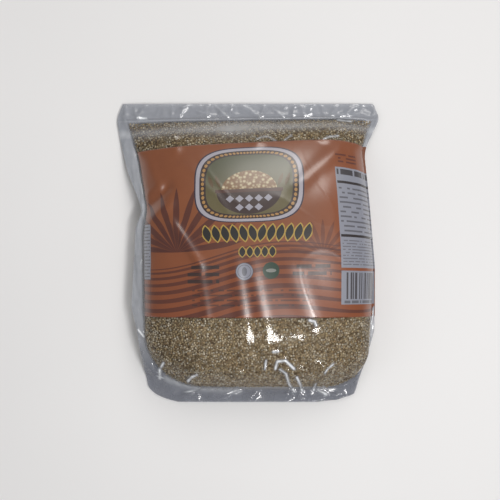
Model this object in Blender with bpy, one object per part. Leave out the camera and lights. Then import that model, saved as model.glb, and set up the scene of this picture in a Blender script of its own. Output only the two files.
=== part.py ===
"""A sealed clear film bag of white quinoa, 1.36 kg, lying on its back, with a printed label band.

The bag is a pillow of film: flat where it rests on the table, rounded at its sides and drawn out
to a flat seal at its two ends. The film stands out past the quinoa all round as a thin margin.
X runs across the shown face, Y towards the top seal and Z up, out of the shown face. The origin
is under the middle of the bag, on the table. Lengths are in millimetres, and MM makes them metres.
"""

import math

import bmesh
import bpy
from mathutils import Vector

MM = 0.001

# Film outline: half of the bag's length, and the film's left and right edge at places along it.
HALF_LENGTH = 132.0
FILM_LEFT = (
    (-132, -62), (-128, -78), (-120, -88), (-93, -93.5), (-66, -97.5), (-48, -102),
    (28, -98), (42, -92.5), (54, -96), (79, -106), (120, -116.5), (132, -111),
)
FILM_RIGHT = (
    (-132, 64), (-128, 85), (-120, 94), (-67, 110.5), (-12, 110.5), (49, 105.5),
    (88, 102.5), (96, 104), (120, 116.5), (132, 111),
)
EDGE_ROUNDING = 3.0

# Quinoa inside the film: its left and right side, the two lines where it ends along the bag, and
# the lower corners as (across, along) half axes of quarter ellipses.
FILL_LEFT = ((-68, -90), (20, -91), (45, -88), (90, -96), (118, -106))
FILL_RIGHT = ((-82, 106), (-12, 109), (48, 104), (94, 100), (118, 109))
FILL_ROUNDING = 5.0
FILL_BOTTOM = -119.0
FILL_TOP = 118.0
CORNER_LEFT = (52.0, 50.0)
CORNER_RIGHT = (40.0, 36.0)

# Heights: the quinoa's crown above the seam's lowest line, the seam where the quinoa ends and at
# the bag's two ends, and the share of the crown's height at which the seam runs along the sides.
CROWN = 51.0
SEAM_AT_FILL_END = 4.4
SEAM_AT_BAG_END = 2.0
SEAM_SHARE = 0.34
SEAM_RISE_LOWER = 48.0
SEAM_RISE_UPPER = 80.0
FILM_THICK = 1.2
MARGIN_DROOP = 0.22

# Form of the filled part: round sides, a blunt lower end and a long slope up to the top seal.
SIDE_POWER = 2.7
LOWER_LENGTH = 62.0
LOWER_POWER = 2.6
UPPER_START = -10.0
UPPER_POWER = 2.1
UPPER_SOFTNESS = 0.72

# The flat that rests on the table: a share of the width, between two lines across the bag.
REST_SHARE = 0.70
REST_LOWER = -88.0
REST_UPPER = 78.0

# Label band: its two edges along the bag, its gap to the film, and how far its right end reaches
# round to the back, as a share of the half width.
LABEL_BOTTOM = -55.0
LABEL_TOP = 96.0
LABEL_GAP = 0.3
LABEL_THICK = 0.4
LABEL_BACK_SHARE = 0.86

# Lines across the bag bend along it: how far, at places from the left side (-1) to the right (1).
BEND = ((-1.0, -7.5), (-0.6, -3.0), (0.0, 0.0), (0.6, 2.6), (0.85, 2.6), (1.0, -2.5))
BEND_ROUNDING = 0.12
BEND_START = -60.0
BEND_FULL = 90.0
BEND_END_LENGTH = 34.0

# Heat-sealed ribs across the flat ends: the line of each rib, its half width and its height.
SEAL_RIBS = ((122.0, 1.7, 0.5), (-125.5, 1.7, 0.5))

# Folds in the shown film: start, end, half width, and height, which is below zero in a valley.
FOLDS = {
    "corner_fold": ((-88, 88), (-74, 56), 4.0, 1.8),
    "pinch": ((-92, 41), (-68, 62), 5.0, -3.2),
    "pinch_lip": ((-90, 30), (-66, 46), 5.0, 2.0),
    "long_fold": ((-54, 36), (-24, -12), 4.5, 1.6),
    "long_fold_foot": ((-24, -12), (-32, -56), 4.0, 1.2),
    "middle_fold": ((-5, -6), (5, -90), 6.0, 1.8),
    "middle_valley": ((6, -10), (16, -84), 5.0, -1.4),
    "second_fold": ((14, -8), (30, -92), 6.0, 1.8),
    "right_fold": ((30, -14), (70, -88), 5.5, 1.8),
    "right_shoulder": ((84, 94), (44, 58), 7.0, 1.8),
    "foot_pucker": ((30, -92), (46, -120), 4.5, 3.0),
    "foot_valley": ((56, -96), (60, -120), 5.0, -2.4),
    "foot_right": ((66, -106), (78, -92), 4.0, 2.0),
    "foot_left": ((-78, -108), (-70, -92), 4.0, 2.2),
    "foot_left_inner": ((-54, -114), (-42, -98), 4.5, 2.2),
    "foot_middle": ((-12, -118), (-8, -100), 5.0, 1.8),
    "neck_crease": ((-96, 106), (100, 109), 2.6, 1.4),
    "neck_left": ((-70, 116), (-62, 92), 5.0, 1.4),
    "neck_middle": ((4, 116), (10, 94), 6.0, 1.2),
    "neck_right": ((74, 116), (66, 96), 5.0, 1.4),
}
FOLD_RUN_OUT = 0.25
FOLD_FADE = 0.4

# Grid of the solid: steps across the quinoa, and the spacing of the lines across the bag.
BODY_STEPS = 30
BODY_STEP = 6.9
END_STEP = 4.5
FOOT_STEP = 3.0
FOOT_LENGTH = 15.0

FILM_COLOUR = (0.40, 0.35, 0.25)
FILM_ROUGHNESS = 0.25
LABEL_COLOUR = (0.42, 0.17, 0.09)
LABEL_ROUGHNESS = 0.5
SHARP_ANGLE = math.radians(50)


def along(stations, place):
    """The value at a place on the line that joins (place, value) stations."""
    if place <= stations[0][0]:
        return stations[0][1]
    for (start, first), (end, last) in zip(stations, stations[1:]):
        if place <= end:
            return first + (last - first) * (place - start) / (end - start)
    return stations[-1][1]


def rounded_along(stations, place, rounding):
    """The same line with its corners rounded, as a mean over places up to rounding away."""
    room = min(rounding, place - stations[0][0], stations[-1][0] - place)
    offsets = [max(room, 0.0) * share for share in (-1.0, -0.5, 0.0, 0.5, 1.0)]
    return sum(along(stations, place + offset) for offset in offsets) / len(offsets)


def ease(t):
    """0 up to t = 0, 1 from t = 1, and a smooth step between."""
    t = min(max(t, 0.0), 1.0)
    return t * t * (3 - 2 * t)


def past_fill(y):
    """How far y lies past the end of the quinoa: 0 over it and 1 at the bag's end."""
    lower = (FILL_BOTTOM - y) / (HALF_LENGTH + FILL_BOTTOM)
    upper = (y - FILL_TOP) / (HALF_LENGTH - FILL_TOP)
    return max(lower, upper, 0.0)


def fill_side(stations, corner, y):
    """X of one side of the quinoa at y. Its lower corner is a quarter of an ellipse."""
    across, up = corner
    y = min(max(y, FILL_BOTTOM), FILL_TOP)
    drop = max(FILL_BOTTOM + up - y, 0.0) / up
    inset = across * (1 - math.sqrt(1 - drop * drop))
    side = rounded_along(stations, y, FILL_ROUNDING)
    return side - math.copysign(inset, side)


def fullness(y):
    """How high the quinoa stands at y: 0 at its two ends and 1 in the middle."""
    if not FILL_BOTTOM < y < FILL_TOP:
        return 0.0
    lower = max(FILL_BOTTOM + LOWER_LENGTH - y, 0.0) / LOWER_LENGTH
    upper = max(y - UPPER_START, 0.0) / (FILL_TOP - UPPER_START)
    return math.sqrt(1 - lower**LOWER_POWER) * (1 - upper**UPPER_POWER) ** UPPER_SOFTNESS


def seam_height(y):
    """Height of the line along the sides where the shown face meets the back."""
    end = SEAM_AT_FILL_END + (SEAM_AT_BAG_END - SEAM_AT_FILL_END) * ease(past_fill(y))
    rise = ease((y - FILL_BOTTOM) / SEAM_RISE_LOWER) * ease((FILL_TOP - y) / SEAM_RISE_UPPER)
    return end + SEAM_SHARE * CROWN * rise


def fold_height(x, y):
    """Height that the folds add to the shown face at (x, y)."""
    total = 0.0
    for (x0, y0), (x1, y1), half_width, height in FOLDS.values():
        dx, dy = x1 - x0, y1 - y0
        t = ((x - x0) * dx + (y - y0) * dy) / (dx * dx + dy * dy)
        fade = ease((t + FOLD_RUN_OUT) / FOLD_FADE) * ease((1 + FOLD_RUN_OUT - t) / FOLD_FADE)
        off = ((x - x0) * dy - (y - y0) * dx) / math.hypot(dx, dy)
        total += height * fade * math.exp(-((off / half_width) ** 2))
    return total


def rib_height(y):
    """Height of the heat-sealed ribs at y."""
    return sum(
        height * math.exp(-(((y - line) / half_width) ** 2))
        for line, half_width, height in SEAL_RIBS
    )


def face_height(x, y, share):
    """Height of the shown face. share runs from -1 at the quinoa's left side to 1 at its right."""
    across = math.sqrt(1 - abs(share) ** SIDE_POWER)
    full = fullness(y)
    seam = seam_height(y)
    crown = max(CROWN * full + SEAM_AT_FILL_END - seam, 0.0)
    folds = fold_height(x, y) * min(across * 1.6, 1.0) * min(full * 3, 1.0)
    return seam + FILM_THICK / 2 + crown * across + folds + rib_height(y)


def back_height(y, share):
    """Height of the back: flat on the table, and turned up to the seam round it."""
    side = max(abs(share) - REST_SHARE, 0.0) / (1 - REST_SHARE)
    lower = max(REST_LOWER - y, 0.0) / (REST_LOWER - FILL_BOTTOM)
    upper = max(y - REST_UPPER, 0.0) / (FILL_TOP - REST_UPPER)
    out = min(math.hypot(side, lower, upper), 1.0)
    return (seam_height(y) - FILM_THICK / 2) * (1 - math.sqrt(1 - out * out))


def bent(y, share):
    """Y of a point on the line across the bag that crosses its middle at y."""
    weight = ease((y - BEND_START) / (BEND_FULL - BEND_START))
    weight *= ease((HALF_LENGTH - y) / BEND_END_LENGTH)
    return y + weight * rounded_along(BEND, share, BEND_ROUNDING)


def row_section(y):
    """One line across the bag: its points over the shown face and over the back, left to right."""
    left = fill_side(FILL_LEFT, CORNER_LEFT, y)
    right = fill_side(FILL_RIGHT, CORNER_RIGHT, y)
    film_left = rounded_along(FILM_LEFT, y, EDGE_ROUNDING)
    film_right = rounded_along(FILM_RIGHT, y, EDGE_ROUNDING)
    spread = 0.94 * ease(past_fill(y))
    left += (film_left - left) * spread
    right += (film_right - right) * spread
    face, back = [], []

    def add(x, share, margin=0.0):
        here = bent(y, share)
        droop = min(MARGIN_DROOP * margin, seam_height(y) - SEAM_AT_BAG_END)
        face.append(Vector((x, here, face_height(x, y, share) - droop)))
        back.append(Vector((x, here, back_height(y, share) - droop)))

    add(film_left, -1.0, left - film_left)
    for step in range(BODY_STEPS + 1):
        share = math.sin(math.pi * (step / BODY_STEPS - 0.5))
        add((left + right) / 2 + share * (right - left) / 2, share)
    add(film_right, 1.0, film_right - right)
    return face, back


def row_places():
    """Y of every line across the bag, with one on each line that matters."""
    places = []
    for start, end, step in (
        (-HALF_LENGTH, FILL_BOTTOM, END_STEP),
        (FILL_BOTTOM, FILL_BOTTOM + FOOT_LENGTH, FOOT_STEP),
        (FILL_BOTTOM + FOOT_LENGTH, LABEL_BOTTOM, BODY_STEP),
        (LABEL_BOTTOM, LABEL_TOP, BODY_STEP),
        (LABEL_TOP, FILL_TOP, END_STEP),
        (FILL_TOP, HALF_LENGTH, END_STEP),
    ):
        count = round((end - start) / step)
        places += [start + (end - start) * k / count for k in range(count)]
    return places + [HALF_LENGTH]


def new_object(name, form, colour, roughness):
    """An object of this closed form in millimetres, with its faces pointing out and one material."""
    bmesh.ops.recalc_face_normals(form, faces=form.faces)
    bmesh.ops.scale(form, vec=(MM, MM, MM), verts=form.verts)
    mesh = bpy.data.meshes.new(name)
    form.to_mesh(mesh)
    form.free()
    mesh.shade_smooth()
    mesh.set_sharp_from_angle(angle=SHARP_ANGLE)
    material = bpy.data.materials.new(name)
    material.use_nodes = True
    shader = material.node_tree.nodes["Principled BSDF"]
    shader.inputs["Base Color"].default_value = (*colour, 1.0)
    shader.inputs["Roughness"].default_value = roughness
    shader.inputs["Metallic"].default_value = 0.0
    material.diffuse_color = (*colour, 1.0)
    mesh.materials.append(material)
    made = bpy.data.objects.new(name, mesh)
    bpy.context.collection.objects.link(made)
    return made


def add_strip(form, lower, upper):
    """The faces between two lines of points, each four-sided stretch split along one diagonal."""
    for k in range(1, len(lower)):
        form.faces.new((lower[k - 1], lower[k], upper[k]))
        form.faces.new((lower[k - 1], upper[k], upper[k - 1]))


def merge_flat(form):
    """Joins the faces that lie flat on the table into one."""
    flat = [
        edge
        for edge in form.edges
        if all(vert.co.z == 0 for face in edge.link_faces for vert in face.verts)
    ]
    bmesh.ops.dissolve_edges(form, edges=flat, use_verts=True)


def bag(rows):
    """The whole bag as one closed solid: each line across it is a loop over the face and the back."""
    form = bmesh.new()
    loops = [[form.verts.new(point) for point in face + back[::-1]] for face, back in rows]
    for lower, upper in zip(loops, loops[1:]):
        add_strip(form, lower + lower[:1], upper + upper[:1])
    for loop in (loops[0], loops[-1]):
        for k in range(len(loop) // 2 - 1):
            form.faces.new((loop[k], loop[k + 1], loop[-k - 2], loop[-k - 1]))
    merge_flat(form)
    return new_object("bag", form, FILM_COLOUR, FILM_ROUGHNESS)


def label_path(face, back):
    """The points that the label lies on, from the left side over the face and round the right."""
    reach = (math.asin(LABEL_BACK_SHARE) / math.pi + 0.5) * BODY_STEPS
    return face[2:] + back[1 + math.ceil(reach) :][::-1]


def moved_out(paths, distance):
    """The grid of paths moved out along its normals, so that its faces move by the distance."""
    height, width = len(paths), len(paths[0])
    moved = []
    for j, path in enumerate(paths):
        row = []
        for i, here in enumerate(path):
            normals = [
                ((paths[j][i + di] - here) * di).cross((paths[j + dj][i] - here) * dj).normalized()
                for dj, di in ((1, 1), (1, -1), (-1, -1), (-1, 1))
                if 0 <= j + dj < height and 0 <= i + di < width
            ]
            mean = sum(normals, Vector()).normalized()
            row.append(here + mean * (distance / min(mean.dot(normal) for normal in normals)))
        moved.append(row)
    return moved


def label(rows, places):
    """The label band: a thin skin just clear of the film."""
    paths = [
        label_path(face, back)
        for (face, back), y in zip(rows, places)
        if LABEL_BOTTOM <= y <= LABEL_TOP
    ]
    form = bmesh.new()
    inner, outer = (
        [[form.verts.new(point) for point in row] for row in moved_out(paths, distance)]
        for distance in (LABEL_GAP, LABEL_GAP + LABEL_THICK)
    )
    height, width = len(inner), len(inner[0])
    for grid in (inner, outer):
        for lower, upper in zip(grid, grid[1:]):
            add_strip(form, lower, upper)
    rim = [(0, i) for i in range(width - 1)]
    rim += [(j, width - 1) for j in range(height - 1)]
    rim += [(height - 1, i) for i in range(width - 1, 0, -1)]
    rim += [(j, 0) for j in range(height - 1, 0, -1)]
    for (j0, i0), (j1, i1) in zip(rim, rim[1:] + rim[:1]):
        form.faces.new((inner[j0][i0], inner[j1][i1], outer[j1][i1], outer[j0][i0]))
    return new_object("label", form, LABEL_COLOUR, LABEL_ROUGHNESS)


def main():
    for old in list(bpy.data.objects):
        bpy.data.objects.remove(old)
    places = row_places()
    rows = [row_section(y) for y in places]
    bag(rows)
    label(rows, places)


main()
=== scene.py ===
"""Looks of a sealed clear film bag of white quinoa that lies on its back under soft studio light.

The film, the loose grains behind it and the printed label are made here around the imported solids.
X runs across the shown face, Y towards the top seal and Z up. Lengths are in millimetres, and MM
makes them metres.
"""

import math

import bpy
import numpy as np
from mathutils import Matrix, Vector, noise


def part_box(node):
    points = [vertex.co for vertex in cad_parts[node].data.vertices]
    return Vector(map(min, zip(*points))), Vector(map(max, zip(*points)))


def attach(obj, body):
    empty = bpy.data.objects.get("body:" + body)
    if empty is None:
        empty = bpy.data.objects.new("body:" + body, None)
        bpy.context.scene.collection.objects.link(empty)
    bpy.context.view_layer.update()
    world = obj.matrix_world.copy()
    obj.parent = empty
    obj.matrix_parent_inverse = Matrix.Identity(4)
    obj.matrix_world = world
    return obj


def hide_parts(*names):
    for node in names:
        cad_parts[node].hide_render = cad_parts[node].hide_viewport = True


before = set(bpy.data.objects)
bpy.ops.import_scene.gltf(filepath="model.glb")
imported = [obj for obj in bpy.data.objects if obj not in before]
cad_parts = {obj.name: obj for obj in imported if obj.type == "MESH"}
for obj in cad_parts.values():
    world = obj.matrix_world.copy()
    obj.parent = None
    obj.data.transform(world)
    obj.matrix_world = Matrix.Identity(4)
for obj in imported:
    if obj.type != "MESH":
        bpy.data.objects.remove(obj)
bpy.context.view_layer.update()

MM = 0.001
HALF_LENGTH = (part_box("bag")[1] / MM).y

# The bag's form, close to that of its solids. First the outlines of the film and of the quinoa, as
# X at stations along the bag.
FILM_LEFT = (
    (-132, -62), (-128, -78), (-120, -88), (-93, -93.5), (-66, -97.5), (-48, -102),
    (28, -98), (42, -92.5), (54, -96), (79, -106), (120, -116.5), (132, -111),
)
FILM_RIGHT = (
    (-132, 62), (-130, 76), (-127.5, 93), (-120, 96), (-67, 110.5), (-12, 110.5),
    (49, 105.5), (88, 102.5), (96, 104), (120, 116.5), (132, 111),
)
EDGE_ROUNDING = 3.0
FILL_LEFT = ((-68, -90), (20, -91), (45, -88), (90, -96), (118, -106))
FILL_RIGHT = ((-82, 106), (-12, 109), (48, 104), (94, 100), (118, 109))
FILL_ROUNDING = 5.0
FILL_BOTTOM = -119.0
FILL_TOP = 118.0
CORNER_LEFT = (52.0, 50.0)
CORNER_RIGHT = (40.0, 36.0)

# How far the grid lines of the quinoa's sides spread to the film's edges at the bag's ends.
SPREAD_AT_END = 0.94

# Heights of the quinoa and of the seam round it, and the forms of the filled part and of the flat.
CROWN = 51.0
SEAM_AT_FILL_END = 4.4
SEAM_AT_BAG_END = 2.0
SEAM_SHARE = 0.34
SEAM_RISE_LOWER = 48.0
SEAM_RISE_UPPER = 80.0
FILM_THICK = 1.2
MARGIN_DROOP = 0.22
SIDE_POWER = 2.7
LOWER_LENGTH = 62.0
LOWER_POWER = 2.6
UPPER_START = -10.0
UPPER_POWER = 2.1
UPPER_SOFTNESS = 0.72
REST_SHARE = 0.70
REST_LOWER = -88.0
REST_UPPER = 78.0

# Label band, and the bend of the lines across the bag.
LABEL_BOTTOM = -55.0
LABEL_TOP = 96.0
LABEL_BACK_SHARE = 0.86
BEND = ((-1.0, -7.5), (-0.6, -3.0), (0.0, 0.0), (0.6, 2.6), (0.85, 2.6), (1.0, -2.5))
BEND_ROUNDING = 0.12
BEND_START = -60.0
BEND_FULL = 90.0
BEND_END_LENGTH = 34.0

# Folds as (start, end, half width, height): those of film and quinoa, then finer ones in the film.
FOLDS = (
    ((-88, 88), (-74, 56), 4.5, 1.2), ((-92, 41), (-68, 62), 5.0, -3.2),
    ((-90, 30), (-66, 46), 5.0, 2.0), ((-66, 31), (-41, -8), 4.0, 2.0),
    ((-42, -10), (-35, -56), 4.0, 0.9), ((-10, -10), (0, -90), 6.0, 1.3),
    ((3, -10), (19, -92), 6.0, 1.15), ((84, 94), (44, 58), 7.0, 1.8),
    ((30, -92), (46, -120), 4.5, 3.0), ((56, -96), (60, -120), 5.0, -2.4),
    ((66, -106), (78, -92), 4.0, 2.0), ((-78, -108), (-70, -92), 4.0, 2.2),
    ((-54, -114), (-42, -98), 4.5, 2.2), ((-12, -118), (-8, -100), 5.0, 1.8),
    ((-96, 106), (100, 109), 2.6, 1.4), ((-70, 116), (-62, 92), 5.0, 1.4),
    ((4, 116), (10, 94), 6.0, 1.2), ((74, 116), (66, 96), 5.0, 1.4),
)
FINE_FOLDS = (
    ((-86, -100), (-80, -122), 2.4, 1.0), ((52, -119), (60, -112), 1.9, 0.8),
    ((-6, 131), (10, 120), 2.4, 0.9), ((40, 124), (58, 130), 2.4, 0.8),
    ((80, 121), (98, 129), 2.4, 0.9), ((-100, 121), (-84, 127), 2.4, 0.8),
)

# How far a fold runs past its two points, and the length of its fade, as shares of its length, and
# how fast the folds rise inwards from the quinoa's sides and ends.
FOLD_RUN_OUT = 0.25
FOLD_FADE = 0.4
FOLD_RISE_SIDE = 1.6
FOLD_RISE_END = 3.0

# A long, shallow fold in the film: X of its crest at stations along the bag, its half widths on
# both sides of the crest, and the length of its fade at both ends.
RIDGE = ((-88, 68), (-62, 59), (-20, 40), (10, 33))
RIDGE_ROUNDING = 6.0
RIDGE_LEFT = 13.0
RIDGE_RIGHT = 16.0
RIDGE_HEIGHT = 2.0
RIDGE_FADE = 24.0

# Sharp creases, whose whiteness is a painted highlight for the glints along them: the points of
# each, half width, height and whiteness. The painted whiteness fades more slowly than the height,
# by the power given after the list.
CREASES_AND_PAINTED_GLINTS = (
    (((-73, -95), (-78, -103), (-78, -111)), 1.0, 0.7, 1.0),
    (((-44, -105), (-49, -107.5), (-52.5, -112)), 1.0, 0.7, 1.0),
    (((52.5, -57), (56.5, -58), (58, -61.5)), 1.2, 0.5, 0.9),
    (((15.5, -91.5), (14.5, -99.5)), 0.9, 0.6, 0.9), (((21.5, -84), (26, -84)), 0.9, 0.5, 0.8),
    (((23.5, -99), (25, -92.5), (32, -91.6), (39.5, -99)), 1.1, 0.8, 1.0),
    (((27.5, -99.5), (32.5, -103.5), (36, -114.5), (41, -122.5)), 1.0, 0.8, 1.0),
    (((42, -107), (45.5, -114.5), (48, -122)), 1.0, 0.8, 1.0),
    (((73.5, -95), (69, -99), (66, -103.5)), 0.9, 0.6, 0.8),
    (((59, -114), (58, -121.5)), 0.9, 0.6, 0.9), (((62, -121), (69, -125)), 1.2, 0.6, 0.9),
    (((-72, -111), (-60, -116), (-40, -120), (-8, -121.5)), 2.6, 0.4, 0.42),
    (((-92, 42), (-90.5, 27)), 1.8, 0.4, 0.45),
    (((-96, -67), (-91, -73)), 1.0, 0.6, 0.9), (((-54, -122.8), (-49, -122.2)), 0.9, 0.5, 0.8),
    (((-98, 119.5), (-90, 119.2)), 0.9, 0.5, 0.9), (((-46, 126), (-29, 121.5)), 0.8, 0.5, 0.35),
    (((-29, 131), (-22, 124), (-17, 120)), 0.8, 0.5, 0.6),
    (((22, 128), (31.5, 121)), 0.8, 0.5, 0.5), (((79, 117.5), (91, 116)), 0.9, 0.4, 0.6),
    (((7.5, 99), (13, 101.5), (18, 101.5), (24, 97.5)), 0.8, 0.4, 0.5),
    (((32, 98.5), (38, 103)), 0.8, 0.4, 0.4), (((64, 98), (71, 101.5), (79, 102.5)), 0.8, 0.4, 0.6),
)
PAINTED_GLINT_EDGE = 0.8

# Ribs pressed into the two seals: Y, half width and height of each.
SEAL_RIBS = ((122, 1.7, 0.5), (-125.5, 1.7, 0.5))

# Fine creases that wander: height, size of their loops, half width, direction, stretch along it
# and seed of each, first where the film is loose and then where it is taut.
SLACK_CREASES = (
    (0.95, 24.0, 2.6, 1.0, 3.0, 3.1), (-0.7, 18.0, 2.1, -0.9, 2.4, 5.7),
    (0.75, 11.0, 1.9, 1.5, 2.2, 9.2),
)
TAUT_CREASES = ((0.20, 46.0, 1.6, 1.25, 3.0, 8.4), (0.12, 34.0, 1.4, -0.9, 2.4, 2.6))
CREASE_SLOPE = 0.8

# How fast the film comes loose past the quinoa's sides and ends, and the reach of the fade of all
# relief at the film's edges, as a share of the margin and in millimetres at the ends.
LOOSE_RISE_SIDE = 3.0
LOOSE_RISE_END = 2.5
RELIEF_FADE_SIDE = 0.25
RELIEF_FADE_END = 3.0

# Grids: share of even spacing in the steps across the bag, and the number of steps.
EVEN_SHARE = 0.3
FACE_ROWS = 280
FACE_STEPS = 314
MARGIN_STEPS = 14

# Room between the two films where they lie on each other.
FILM_GAP = 0.2

# How far the film gives way under the label, how far inside the label's edges that starts, and
# the length of its ramp. At the left end both are shares across the bag.
SUNK = 0.3
SUNK_INSET = 1.0
SUNK_RAMP = 1.5
SUNK_LEFT = -0.98
SUNK_LEFT_RAMP = 0.02

# Milkiness: how fast it rises past the quinoa's sides and ends, and how much of it the upper half,
# the lower half and the creases' painted highlights have.
MILK_RISE_SIDE = 6.0
MILK_RISE_END = 4.0
MILK_UPPER = 1.15
MILK_LOWER = 1.1
MILK_PAINTED_GLINTS = 2.6

# The pale line of the top seal: share, how far past the quinoa it lies, and its half width.
SEAL_MILK = 1.5
SEAL_PAST_FILL = 0.6
SEAL_HALF_WIDTH = 0.9

# The pale crease over the uppermost quinoa: share and half width, what both gain in the middle,
# and where the middle is and how far it reaches.
CREASE_Y = 110.0
CREASE_MILK = 0.62
CREASE_MILK_GAIN = 0.24
CREASE_WIDTH = 4.2
CREASE_WIDTH_GAIN = 3.0
CREASE_MIDDLE = -8.0
CREASE_REACH = 32.0
CREASE_PALE = 0.7

# Painted light and shade in the milky film: how far it is from its dull tone to its bright one, as
# the share at the sides, the start and length of its rise from the darker lower end, and its fall
# to painted shade near the top.
PAINTED_LIGHT_SIDES = 0.28
PAINTED_LIGHT_START = -105.0
PAINTED_LIGHT_RISE = 40.0
PAINTED_SHADE_TOP = 0.35
PAINTED_SHADE_TOP_START = 90.0
PAINTED_SHADE_TOP_LENGTH = 30.0

SEED = 7


def along(stations, place):
    """The value at each place on the line that joins (place, value) stations."""
    places, values = np.array(stations, float).T
    return np.interp(place, places, values)


def rounded_along(stations, place, rounding):
    """The same line with its corners rounded, as a mean over places up to rounding away."""
    room = np.minimum(place - stations[0][0], stations[-1][0] - place).clip(0, rounding)
    shares = (-1.0, -0.5, 0.0, 0.5, 1.0)
    return sum(along(stations, place + room * share) for share in shares) / len(shares)


def ease(t):
    """0 up to t = 0, 1 from t = 1, and a smooth step between."""
    t = np.clip(t, 0.0, 1.0)
    return t * t * (3 - 2 * t)


def past_fill(y):
    """How far y lies past the end of the quinoa: 0 over it and 1 at the bag's end."""
    lower = (FILL_BOTTOM - y) / (HALF_LENGTH + FILL_BOTTOM)
    upper = (y - FILL_TOP) / (HALF_LENGTH - FILL_TOP)
    return np.maximum(lower, upper).clip(0.0)


def fill_side(stations, corner, y):
    """X of one side of the quinoa at y. Its lower corner is a quarter of an ellipse."""
    across, up = corner
    y = np.clip(y, FILL_BOTTOM, FILL_TOP)
    drop = (FILL_BOTTOM + up - y).clip(0.0) / up
    inset = across * (1 - np.sqrt(1 - drop * drop))
    side = rounded_along(stations, y, FILL_ROUNDING)
    return side - np.copysign(inset, side)


def fullness(y):
    """How high the quinoa stands at y: 0 at its two ends and 1 in the middle."""
    y = np.clip(y, FILL_BOTTOM, FILL_TOP)
    lower = (FILL_BOTTOM + LOWER_LENGTH - y).clip(0.0) / LOWER_LENGTH
    upper = (y - UPPER_START).clip(0.0) / (FILL_TOP - UPPER_START)
    rise = np.sqrt((1 - lower**LOWER_POWER).clip(0.0))
    return rise * (1 - upper**UPPER_POWER).clip(0.0) ** UPPER_SOFTNESS


def seam_height(y):
    """Height of the line along the sides where the shown face meets the back."""
    end = SEAM_AT_FILL_END + (SEAM_AT_BAG_END - SEAM_AT_FILL_END) * ease(past_fill(y))
    rise = ease((y - FILL_BOTTOM) / SEAM_RISE_LOWER) * ease((FILL_TOP - y) / SEAM_RISE_UPPER)
    return end + SEAM_SHARE * CROWN * rise


def fold_height(folds, x, y):
    """Height that the folds add to the shown face at (x, y)."""
    total = 0.0
    for (x0, y0), (x1, y1), half_width, height in folds:
        dx, dy = x1 - x0, y1 - y0
        t = ((x - x0) * dx + (y - y0) * dy) / (dx * dx + dy * dy)
        fade = ease((t + FOLD_RUN_OUT) / FOLD_FADE) * ease((1 + FOLD_RUN_OUT - t) / FOLD_FADE)
        off = ((x - x0) * dy - (y - y0) * dx) / math.hypot(dx, dy)
        total = total + height * fade * np.exp(-((off / half_width) ** 2))
    return total


def ridge_height(x, y):
    """Height that the long fold adds at (x, y)."""
    off = x - rounded_along(RIDGE, y.clip(RIDGE[0][0], RIDGE[-1][0]), RIDGE_ROUNDING)
    width = np.where(off < 0, RIDGE_LEFT, RIDGE_RIGHT)
    fade = ease((y - RIDGE[0][0]) / RIDGE_FADE) * ease((RIDGE[-1][0] - y) / RIDGE_FADE)
    return RIDGE_HEIGHT * fade * np.exp(-((off / width) ** 2))


def crease_heights_and_painted_glints(x, y):
    """Height that the sharp creases add at (x, y), and the whiteness of the highlight painted along
    them. The painted whiteness varies a little from place to place."""
    height, white = np.zeros(x.shape), np.zeros(x.shape)
    for points, half_width, rise, whiteness in CREASES_AND_PAINTED_GLINTS:
        nearest = np.full(x.shape, np.inf)
        for (x0, y0), (x1, y1) in zip(points, points[1:]):
            dx, dy = x1 - x0, y1 - y0
            t = (((x - x0) * dx + (y - y0) * dy) / (dx * dx + dy * dy)).clip(0, 1)
            nearest = np.minimum(nearest, np.hypot(x - x0 - t * dx, y - y0 - t * dy))
        profile = np.exp(-((nearest / half_width) ** 2))
        height = np.maximum(height, rise * profile)
        white = np.maximum(white, whiteness * profile**PAINTED_GLINT_EDGE)
    return height, white * (0.86 + 0.14 * np.cos(0.9 * x + 0.6 * y))


def bent(y, share):
    """Y of a point on the line across the bag that crosses its middle at y."""
    weight = ease((y - BEND_START) / (BEND_FULL - BEND_START))
    weight = weight * ease((HALF_LENGTH - y) / BEND_END_LENGTH)
    return y + weight * rounded_along(BEND, share, BEND_ROUNDING)


def face_height(x, y, share):
    """Height of the shown face over the quinoa, whose sides are at share -1 and 1."""
    across = np.sqrt((1 - np.abs(share) ** SIDE_POWER).clip(0.0))
    full = fullness(y)
    seam = seam_height(y)
    crown = (CROWN * full + SEAM_AT_FILL_END - seam).clip(0.0)
    taut = np.minimum(across * FOLD_RISE_SIDE, 1.0) * np.minimum(full * FOLD_RISE_END, 1.0)
    return seam + FILM_THICK / 2 + crown * across + fold_height(FOLDS, x, y) * taut


def back_height(y, share):
    """Height of the back: flat on the table, and turned up to the seam round it."""
    side = (np.abs(share) - REST_SHARE).clip(0.0) / (1 - REST_SHARE)
    lower = (REST_LOWER - y).clip(0.0) / (REST_LOWER - FILL_BOTTOM)
    upper = (y - REST_UPPER).clip(0.0) / (FILL_TOP - REST_UPPER)
    out = np.sqrt(side**2 + lower**2 + upper**2).clip(0.0, 1.0)
    return (seam_height(y) - FILM_THICK / 2) * (1 - np.sqrt(1 - out * out))


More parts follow.
